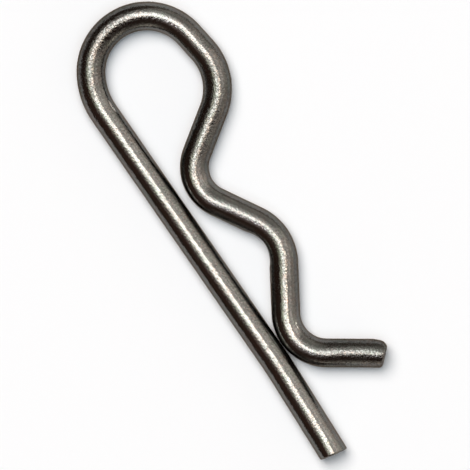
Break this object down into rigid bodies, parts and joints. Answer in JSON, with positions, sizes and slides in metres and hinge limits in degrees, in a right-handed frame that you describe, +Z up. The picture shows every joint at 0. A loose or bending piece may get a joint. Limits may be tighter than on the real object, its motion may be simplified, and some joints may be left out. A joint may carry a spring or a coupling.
{
  "type": "hitch r clip pin",
  "caption": "Hitch R clip bent from round spring wire: a straight leg for a shaft's cross hole, an open bow, and a sprung arm whose hump closes over the shaft.",
  "frame": {"origin": "on the axis of the shaft that the clip holds, where it crosses the line of the leg, at the level of the surface that the clip lies on", "axes": "+X along the leg to its free end, +Y from the leg to the sprung arm, +Z up from the surface that the clip lies on"},
  "size_m": [0.0684, 0.0209, 0.004],
  "materials": {
    "wire": "bright zinc plate over drawn spring wire"
  },
  "bodies": {
    "root": {"clip": "wire"}
  },
  "joints": []
}
